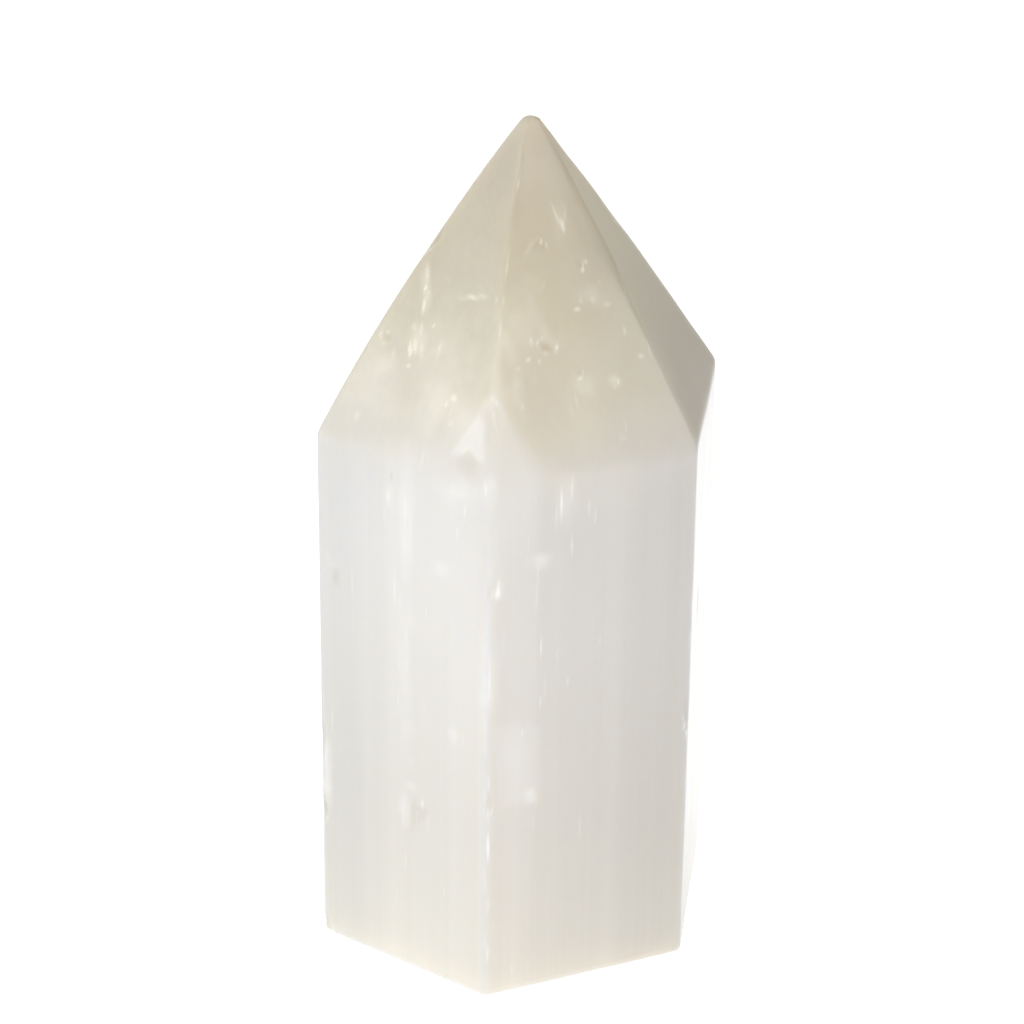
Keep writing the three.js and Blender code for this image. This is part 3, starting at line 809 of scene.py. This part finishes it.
def cut_scars(shape, points):
    """Takes every scar out of the surface: each point goes in by deep times its field, over a floor that is
    ribbed along the fibres and rises from the head of the scar to its foot. The field is 0 outside, grows
    over a ragged outline, and is 1 on the floor. Its pale edge is where the field is near one half, and
    fades from the foot to the head: bruised, and painted highlight at the foot of the hollow, which faces
    the light. Gives the moved points, and the largest field and pale edge at each."""
    scarred, rim_and_highlight = np.zeros(len(points)), np.zeros(len(points))
    moved = points.copy()
    ribs = 1 - RIB_DEPTH + RIB_DEPTH * smooth_noise(points, *NOISES["ribs"])
    spacing, seed = NOISES["ragged"]
    for i, (side, across, height, wide, tall, deep, roll, rough) in enumerate(each_mark(SCARS)):
        place = side_spot(shape, side, across, height)
        near, q, head = mark_shape(points, place, wide, tall, roll, power=1.5)
        ragged = SCAR_STRAYS * rough * (smooth_noise(points[near], spacing, seed + i) - 0.5)
        field = np.clip((1 - q + ragged) * SCAR_STEEP, 0, 1)
        floor = SCAR_HEAD + (1 - SCAR_HEAD) * smooth_step((head + 1) / 2)
        moved[near] -= (field * floor * deep * MM * ribs[near])[:, None] * place[3]
        scarred[near] = np.maximum(scarred[near], field)
        rim_and_highlight[near] = np.maximum(rim_and_highlight[near], rough * 4 * field * (1 - field) * smooth_step(0.35 - head))
    return moved, scarred, rim_and_highlight


def soft_marks(shape, points, marks, ragged, noise):
    """Sum of soft marks: each adds strength * s(1 - q), where s is the smooth step and q is the mark's shape
    with an outline made uneven by noise."""
    field = np.zeros(len(points))
    uneven = ragged * (smooth_noise(points, *NOISES[noise]) - 0.5)
    for side, across, height, wide, tall, strength, roll in marks:
        near, q, _ = mark_shape(points, side_spot(shape, side, across, height), wide, tall, roll)
        field[near] += strength * smooth_step(1 - q + uneven[near])
    return field


def flake_marks(shape, points, flakes):
    """Greatest of the flakes: each is strength over its polygon, with q the largest of its edges' shares,
    which is 0 at the middle and 1 on the outline, and falls to 0 over the width of its edge."""
    field = np.zeros(len(points))
    for side, corners, strength, edge in flakes:
        middle, sideways, upward, outward = side_spot(shape, side, *np.mean(corners, axis=0))
        spots = np.array([side_spot(shape, side, *corner)[0] for corner in corners]) - middle
        flat = np.stack([spots @ sideways, spots @ upward], axis=1)
        edges = np.roll(flat, -1, axis=0) - flat
        normals = np.stack([edges[:, 1], -edges[:, 0]], axis=1)
        away = points - middle
        place = np.stack([away @ sideways, away @ upward], axis=1)
        q = (place @ normals.T / (normals * flat).sum(axis=1)).max(axis=1)
        inside = smooth_step((1 - q) * np.abs(flat).min(axis=1).max() / (edge * MM))
        inside *= np.abs(away @ outward) < MARK_THICKNESS
        field = np.maximum(field, strength * inside)
    return field


def stray_splits():
    """Short bright splits along the fibres, strewn over every side by chance."""
    draw = np.random.default_rng(STRAY_SEED)
    names = list(SIDES)
    splits = []
    for _ in range(STRAY_COUNT):
        side = names[draw.integers(len(names))]
        across, height, wide, tall, strength = (draw.uniform(*span) for span in STRAY_SPANS.values())
        roll = draw.normal(0, STRAY_ROLL)
        splits.append((side, across, height, wide, tall**STRAY_TALL_POWER, strength, roll))
    return splits


def closed_grid(rows, columns):
    """Faces of a grid that is closed round its columns and ends in a pole below and a pole above: quads
    between the rows, and a fan of triangles to each pole. The two poles are the last two points."""
    index = np.arange(rows * columns).reshape(rows, columns)
    after = np.roll(index, -1, axis=1)
    quads = np.stack([index[:-1], after[:-1], after[1:], index[1:]], axis=-1).reshape(-1, 4)
    low_pole, high_pole = rows * columns, rows * columns + 1
    low_fan = np.stack([np.full(columns, low_pole), after[0], index[0]], axis=1)
    high_fan = np.stack([np.full(columns, high_pole), index[-1], after[-1]], axis=1)
    return quads, np.concatenate([low_fan, high_fan])


def mesh_from(name, points, quads, triangles, fields):
    """A mesh of quads and triangles, with each field kept as a point attribute."""
    mesh = bpy.data.meshes.new(name)
    sizes = np.concatenate([np.full(len(quads), 4), np.full(len(triangles), 3)])
    corners = np.concatenate([quads.ravel(), triangles.ravel()]).astype(np.int32)
    starts = np.concatenate([[0], np.cumsum(sizes)[:-1]]).astype(np.int32)
    mesh.vertices.add(len(points))
    mesh.vertices.foreach_set("co", points.astype(np.float32).ravel())
    mesh.loops.add(len(corners))
    mesh.loops.foreach_set("vertex_index", corners)
    mesh.polygons.add(len(sizes))
    mesh.polygons.foreach_set("loop_start", starts)
    mesh.polygons.foreach_set("use_smooth", np.ones(len(sizes), bool))
    mesh.update(calc_edges=True)
    if mesh.validate():
        raise RuntimeError(f"{name} has bad faces")
    for field, values in fields.items():
        attribute = mesh.attributes.new(field, "FLOAT", "POINT")
        attribute.data.foreach_set("value", values.astype(np.float32))
    return mesh


def stone_mesh(shape):
    """The stone: its surface with scars cut in, closed at the middle of the base and at the tip, and the
    fields that its finish reads."""
    grid, fields = stone_surface(shape)
    rows, columns = grid.shape[:2]
    whole = grid.reshape(-1, 3)
    points, fields["scar"], fields["rim_and_highlight"] = cut_scars(shape, whole)
    fields["cloud"] = soft_marks(shape, whole, each_mark(MILKY_CLOUDS), 0.5, "clouds")
    fields["split"] = soft_marks(shape, whole, each_mark(SPLITS) + stray_splits(), 0.35, "splits")
    fields["dull"] = soft_marks(shape, whole, each_mark(DULL_SPOTS), 0.5, "dull")
    fields["pale_flake"] = flake_marks(shape, whole, PALE_FLAKES)
    fields["dull_flake"] = flake_marks(shape, whole, DULL_FLAKES)
    poles = np.array([(0, 0, 0), (shape.drift_x, shape.drift_y, shape.height)])
    low = np.array(STONE_LOW) + (CLEAR, CLEAR, 0)
    high = np.array(STONE_HIGH) - (CLEAR, CLEAR, 0)
    points = np.clip(np.concatenate([points, poles]), low, high)
    fields = {name: np.append(values.ravel(), [0, name == "cut"]) for name, values in fields.items()}
    quads, triangles = closed_grid(rows, columns)
    return mesh_from("selenite_point_worn", points, quads, triangles, fields)


# ---------------- finishes


class Nodes:
    """Short hand for adding nodes to a material or world and joining them. A value given to a node is a
    number, a colour or another node's socket. A ramp is straight between its ends and flat beyond them."""

    def __init__(self, tree):
        self.tree = tree
        tree.nodes.clear()

    def add(self, kind, settings=None, **inputs):
        node = self.tree.nodes.new(kind)
        for key, value in (settings or {}).items():
            setattr(node, key, value)
        for key, value in inputs.items():
            self.put(node.inputs[key.replace("_", " ")], value)
        return node

    def put(self, socket, value):
        if isinstance(value, bpy.types.NodeSocket):
            self.tree.links.new(value, socket)
        else:
            socket.default_value = value

    def maths(self, operation, a, b=0.0, clamp=False):
        node = self.add("ShaderNodeMath", {"operation": operation, "use_clamp": clamp})
        self.put(node.inputs[0], a)
        self.put(node.inputs[1], b)
        return node.outputs[0]

    def product(self, *factors):
        total = factors[0]
        for factor in factors[1:]:
            total = self.maths("MULTIPLY", total, factor)
        return total

    def total(self, *parts, clamp=False):
        total = parts[0]
        for part in parts[1:]:
            total = self.maths("ADD", total, part, clamp)
        return total

    def ramp(self, value, low, high, to_low=0.0, to_high=1.0):
        node = self.add("ShaderNodeMapRange", {"clamp": True})
        given = {"Value": value, "From Min": low, "From Max": high, "To Min": to_low, "To Max": to_high}
        for name, item in given.items():
            self.put(node.inputs[name], item)
        return node.outputs["Result"]

    def mix(self, amount, a, b, blend="MIX"):
        node = self.add("ShaderNodeMix", {"data_type": "RGBA", "blend_type": blend})
        colours = [socket for socket in node.inputs if socket.type == "RGBA"]
        self.put(node.inputs[0], amount)
        self.put(colours[0], a)
        self.put(colours[1], b)
        return next(socket for socket in node.outputs if socket.type == "RGBA")

    def field(self, name):
        return self.add("ShaderNodeAttribute", {"attribute_name": name}).outputs["Fac"]

    def vector_maths(self, operation, a, b, output="Value"):
        node = self.add("ShaderNodeVectorMath", {"operation": operation})
        self.put(node.inputs[0], a)
        self.put(node.inputs[1], b)
        return node.outputs[output]

    def noise(self, coordinates, per_metre, detail=2.0, roughness=0.5, distortion=0.0):
        place = self.add("ShaderNodeMapping", Vector=coordinates, Scale=per_metre)
        node = self.add(
            "ShaderNodeTexNoise",
            Vector=place.outputs["Vector"],
            Scale=1.0,
            Detail=detail,
            Roughness=roughness,
            Distortion=distortion,
        )
        return node.outputs[0]

    def finish(self, kind, shader):
        output = self.add(kind)
        self.tree.links.new(shader.outputs[0], output.inputs["Surface"])


def opaque(colour):
    """A colour with full alpha."""
    return (*colour, 1.0)


def shade_lines(n, where):
    """How near each point is to every line of painted shade, measured level: 1 within near of its place, 0
    beyond far.
    """
    level = n.vector_maths("MULTIPLY", where, (1.0, 1.0, 0.0), "Vector")
    shade_masks = {}
    for name, (place, near, far) in SHADE_LINES.items():
        shade_masks[name] = n.ramp(n.vector_maths("DISTANCE", level, place), far, near)
    return shade_masks


def tinted(n, colour, tints, masks, height):
    """A colour multiplied by every tint, each as far as the product of its masks and height ramps says."""
    for names, spans, tint in tints:
        parts = [masks[name] for name in names] + [n.ramp(height, *span) for span in spans]
        colour = n.mix(n.product(*parts), colour, opaque(tint), "MULTIPLY")
    return colour


def rising_tint(n, colour, amount, height, span, low, high):
    """A colour multiplied by a tint that goes from low to high over a span of heights."""
    tint = n.mix(n.ramp(height, *span), opaque(low), opaque(high))
    return n.mix(amount, colour, tint, "MULTIPLY")


def silk_colour(n, finish, grain, masks, height):
    """The upright sides: bright and dull fibres in bands and threads, more even on the left, with painted
    shade near the arrises and low on the right, and painted light high on the left.
    """
    on_left = masks["on left"]
    dullest, brightest = n.ramp(on_left, 0.0, 1.0, 0.15, 0.23), n.ramp(on_left, 0.0, 1.0, 0.69, 0.61)
    bands = n.ramp(grain["bands"], 0.3, 0.7, dullest, brightest)
    threads = n.ramp(grain["threads"], 0.3, 0.7, 0.0, 0.14)
    silk = n.mix(n.total(bands, threads), opaque(finish.silk_deep), opaque(finish.silk_light))
    silk = tinted(n, silk, SILK_TINTS, masks, height)
    return rising_tint(n, silk, on_left, height, *LEFT_SILK_PAINTED_LIGHT)


def tip_colour(n, finish, grain, masks, height):
    """The cut flats of the tip, across the fibres: deeper and warmer with height, in soft drifts, with
    painted shade on the right flat and near the right of the tip, and painted light and shade on the left
    flat.
    """
    on_left = masks["on left"]
    amount = n.total(
        n.ramp(height, 0.098, 0.078, 0.0, 0.8),
        n.ramp(grain["drifts"], 0.35, 0.65, -0.15, 0.15),
        n.ramp(grain["threads"], 0.3, 0.7, -0.05, 0.05),
    )
    deep = n.mix(on_left, opaque(finish.cut_deep), opaque(LEFT_TIP_PAINTED_SHADE), "MULTIPLY")
    light = n.mix(on_left, opaque(finish.cut_light), opaque(LEFT_TIP_PAINTED_LIGHT), "MULTIPLY")
    tip = n.mix(n.maths("MAXIMUM", amount, 0.0), deep, light)
    tip = tinted(n, tip, TIP_TINTS, masks, height)
    return rising_tint(n, tip, masks["on right"], height, *RIGHT_TIP_PAINTED_SHADE)


def pale_marks(n, grain, cut, on_right, tip_arris, dull_flake):
    """All that is pale on the stone: broken lines on the ridges of the tip, clouds, some of which also paint
    the glow of light through the stone, splits, the pale edges of scars, which are partly painted highlight,
    and pale flakes, the one high on the left flat being a painted highlight on a fracture. A dull flake
    hides a pale one."""
    ridge = n.product(tip_arris, n.ramp(grain["breaks"], 0.50, 0.68, 0.0, 0.06))
    cloud = n.product(n.field("cloud"), n.ramp(grain["breaks"], 0.3, 0.6, 0.6, 1.0))
    along = n.ramp(grain["hairs"], 0.35, 0.6, n.ramp(cut, 0.0, 1.0, 0.3, 0.8), 1.2)
    # Splits fade where the right flat of the tip is painted in shade.
    split = n.product(n.field("split"), along, n.ramp(n.product(on_right, cut), 0.0, 1.0, 1.0, 0.15))
    # Pale edges of the scars: bruised, and painted highlight at their feet.
    rim_and_highlight = n.product(n.field("rim_and_highlight"), n.ramp(grain["flecks"], 0.38, 0.60, 0.3, 1.0))
    flake = n.product(n.field("pale_flake"), n.ramp(dull_flake, 0.0, 0.1, 1.0, 0.0))
    return n.total(ridge, cloud, split, rim_and_highlight, flake, clamp=True)


def stone_relief(n, grain, scar):
    """Fine relief of the fibres over the whole stone, and a rougher one in the scars."""
    fibres = n.total(n.product(grain["threads"], 0.6), n.product(grain["hairs"], 0.4))
    fine = n.add("ShaderNodeBump", Strength=0.12, Distance=0.00001, Height=fibres)
    chipped = n.product(grain["chips"], scar)
    below = fine.outputs["Normal"]
    rough = n.add("ShaderNodeBump", Strength=0.5, Distance=0.0001, Height=chipped, Normal=below)
    return rough.outputs["Normal"]


def stone_finish(finish):
    """Silky selenite: bright and dull fibres run upright through the stone, cut across at the tip, where it
    is warmer and clearer. Milky clouds, bruised arrises that also carry a painted highlight, bright splits
    and rough scars lie over them, with painted light and shade on the sides and the tip, and painted shade
    in the scars."""
    material = bpy.data.materials.new("silky_selenite")
    material.use_nodes = True
    n = Nodes(material.node_tree)
    where = n.add("ShaderNodeTexCoord").outputs["Object"]
    height = n.add("ShaderNodeSeparateXYZ", Vector=where).outputs["Z"]
    grain = {name: n.noise(where, *settings) for name, settings in GRAINS.items()}
    cut, scar, dull_flake = n.field("cut"), n.field("scar"), n.field("dull_flake")
    side_arris, tip_arris = n.field("side_arris"), n.field("tip_arris")
    on_left, right_share = n.field("on_left"), n.field("on_right")
    on_right = n.ramp(right_share, 0.5, 1.0)
    masks = {
        **shade_lines(n, where),
        "on left": on_left,
        "off left": n.ramp(on_left, 0.0, 1.0, 1.0, 0.0),
        "mostly off left": n.ramp(on_left, 0.0, 1.0, 1.0, 0.2),
        "on right": on_right,
        "front ridge": n.product(tip_arris, n.ramp(right_share, 0.0, 0.3, 1.0, 0.0)),
        "side arris": side_arris,
        "scar": scar,
    }

    silk = silk_colour(n, finish, grain, masks, height)
    tip = tip_colour(n, finish, grain, masks, height)
    warm_corner = n.product(n.field("on_corner"), n.ramp(height, 0.068, 0.081, 0.1, 0.9))
    base = n.mix(n.total(cut, warm_corner, clamp=True), silk, tip)
    base = tinted(n, base, STONE_TINTS, masks, height)

    milk = n.mix(cut, opaque(finish.milk), opaque(finish.warm_milk))
    base = n.mix(pale_marks(n, grain, cut, on_right, tip_arris, dull_flake), base, milk)
    # Bruised upright arrises, whose pale colour also paints the highlight that they catch.
    bruise_and_highlight = n.product(n.maths("POWER", side_arris, 4.0), n.ramp(grain["breaks"], 0.45, 0.65, 0.0, 0.35))
    base = n.mix(bruise_and_highlight, base, opaque(finish.bruise_and_highlight))
    dull = n.total(n.product(n.field("dull"), 0.6), n.product(dull_flake, 0.5))
    base = n.mix(dull, base, opaque(finish.dull))

    surface = n.add(
        "ShaderNodeBsdfPrincipled",
        Base_Color=base,
        Roughness=n.ramp(scar, 0.0, 1.0, finish.roughness, finish.roughness + 0.2),
        IOR=1.52,
        Specular_IOR_Level=n.ramp(cut, 0.0, 1.0, 0.5, n.ramp(tip_arris, 0.0, 1.0, 0.25, 0.08)),
        Normal=stone_relief(n, grain, scar),
        Subsurface_Weight=0.8,
        Subsurface_Radius=(1.0, 0.86, 0.66),
        Subsurface_Scale=finish.scatter_depth,
    )
    n.finish("ShaderNodeOutputMaterial", surface)
    return material


def floor_finish(stage):
    """A plain pale table top, lit from below and more strongly behind the stone."""
    material = bpy.data.materials.new("pale_table_top")
    material.use_nodes = True
    n = Nodes(material.node_tree)
    where = n.add("ShaderNodeTexCoord").outputs["Object"]
    away = n.vector_maths("DISTANCE", where, GLOW_MIDDLE)
    glow = n.ramp(away, *GLOW_FADE, stage.back_glow, stage.floor_glow)
    surface = n.add(
        "ShaderNodeBsdfPrincipled",
        Base_Color=opaque(stage.floor_colour),
        Roughness=0.15,
        Emission_Color=(1, 1, 1, 1),
        Emission_Strength=glow,
    )
    n.finish("ShaderNodeOutputMaterial", surface)
    return material


# ---------------- operators


def put_in_scene(name, mesh, material):
    """An object of a mesh, at the origin, with its material."""
    mesh.materials.append(material)
    piece = bpy.data.objects.new(name, mesh)
    bpy.context.scene.collection.objects.link(piece)
    return piece


class SELENITE_OT_stone(bpy.types.Operator):
    """Builds the worn and splintered stone in place of its plain solid"""

    bl_idname = "selenite.stone"
    bl_label = "Build the stone"

    def execute(self, context):
        shape, finish = context.scene.stone_shape, context.scene.stone_finish
        stone = put_in_scene("selenite_point_stone", stone_mesh(shape), stone_finish(finish))
        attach(stone, "root")
        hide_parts(STONE_NODE)
        return {"FINISHED"}


class SELENITE_OT_stage(bpy.types.Operator):
    """Sets the pale floor, the soft light and the camera"""

    bl_idname = "selenite.stage"
    bl_label = "Set the stage"

    def execute(self, context):
        stage = context.scene.studio_stage
        self.lay_floor(stage)
        self.light_room(context.scene, stage)
        self.set_lamp(context.scene, stage)
        self.set_camera(context.scene, stage)
        context.scene.view_settings.view_transform = "Standard"
        return {"FINISHED"}

    def lay_floor(self, stage):
        half = stage.floor_size / 2
        corners = np.array([(x * half, y * half, -CLEAR) for x, y in ((-1, -1), (1, -1), (1, 1), (-1, 1))])
        mesh = mesh_from("floor_sheet", corners, np.array([[0, 1, 2, 3]]), np.zeros((0, 3), int), {})
        put_in_scene("floor", mesh, floor_finish(stage))

    def light_room(self, scene, stage):
        """The room is bright behind and to the left of the stone, and dim in front and to the right."""
        scene.world = bpy.data.worlds.new("studio_room")
        scene.world.use_nodes = True
        n = Nodes(scene.world.node_tree)
        where = n.add("ShaderNodeTexCoord").outputs["Generated"]
        toward = n.vector_maths("DOT_PRODUCT", where, BRIGHT_WAY)
        amount = n.ramp(toward, -1.0, 1.0, stage.room_dim, stage.room_bright)
        background = n.add("ShaderNodeBackground", Color=(1, 1, 1, 1), Strength=amount)
        n.finish("ShaderNodeOutputWorld", background)

    def set_lamp(self, scene, stage):
        data = bpy.data.lights.new("soft_lamp", "AREA")
        data.shape, data.size = "DISK", LAMP_SIZE
        data.energy = stage.lamp_power
        lamp = bpy.data.objects.new("soft_lamp", data)
        scene.collection.objects.link(lamp)
        lamp.location = LAMP_PLACE
        lamp.visible_glossy = False
        aim = lamp.location.copy()
        aim.z -= LAMP_AIM
        lamp.rotation_euler = aim.to_track_quat("Z", "Y").to_euler()

    def set_camera(self, scene, stage):
        data = bpy.data.cameras.new("camera")
        data.lens = stage.lens
        data.sensor_width = SENSOR_WIDTH
        data.clip_start, data.clip_end = 0.01, 20.0
        camera = bpy.data.objects.new("camera", data)
        scene.collection.objects.link(camera)
        turn = Matrix.Rotation(-stage.camera_turn, 4, "Z")
        dip = Matrix.Rotation(math.pi / 2 - stage.camera_dip, 4, "X")
        roll = Matrix.Rotation(stage.camera_roll, 4, "Z")
        camera.matrix_world = Matrix.Translation(stage.camera_place) @ turn @ dip @ roll
        scene.camera = camera


class SELENITE_PT_panel(bpy.types.Panel):
    """Lists the builders and their sizes"""

    bl_label = "Selenite point"
    bl_space_type = "VIEW_3D"
    bl_region_type = "UI"
    bl_category = "Selenite"

    def draw(self, context):
        for group, operator in (
            (context.scene.stone_shape, SELENITE_OT_stone.bl_idname),
            (context.scene.stone_finish, None),
            (context.scene.studio_stage, SELENITE_OT_stage.bl_idname),
        ):
            box = self.layout.box()
            for name in type(group).__annotations__:
                box.prop(group, name)
            if operator:
                box.operator(operator)


CLASSES = (StoneShape, StoneFinish, Stage, SELENITE_OT_stone, SELENITE_OT_stage, SELENITE_PT_panel)


def register():
    for cls in CLASSES:
        bpy.utils.register_class(cls)
    bpy.types.Scene.stone_shape = PointerProperty(type=StoneShape)
    bpy.types.Scene.stone_finish = PointerProperty(type=StoneFinish)
    bpy.types.Scene.studio_stage = PointerProperty(type=Stage)


def unregister():
    del bpy.types.Scene.stone_shape
    del bpy.types.Scene.stone_finish
    del bpy.types.Scene.studio_stage
    for cls in reversed(CLASSES):
        bpy.utils.unregister_class(cls)


def main():
    register()
    bpy.ops.selenite.stone()
    bpy.ops.selenite.stage()


if __name__ == "__main__":
    main()
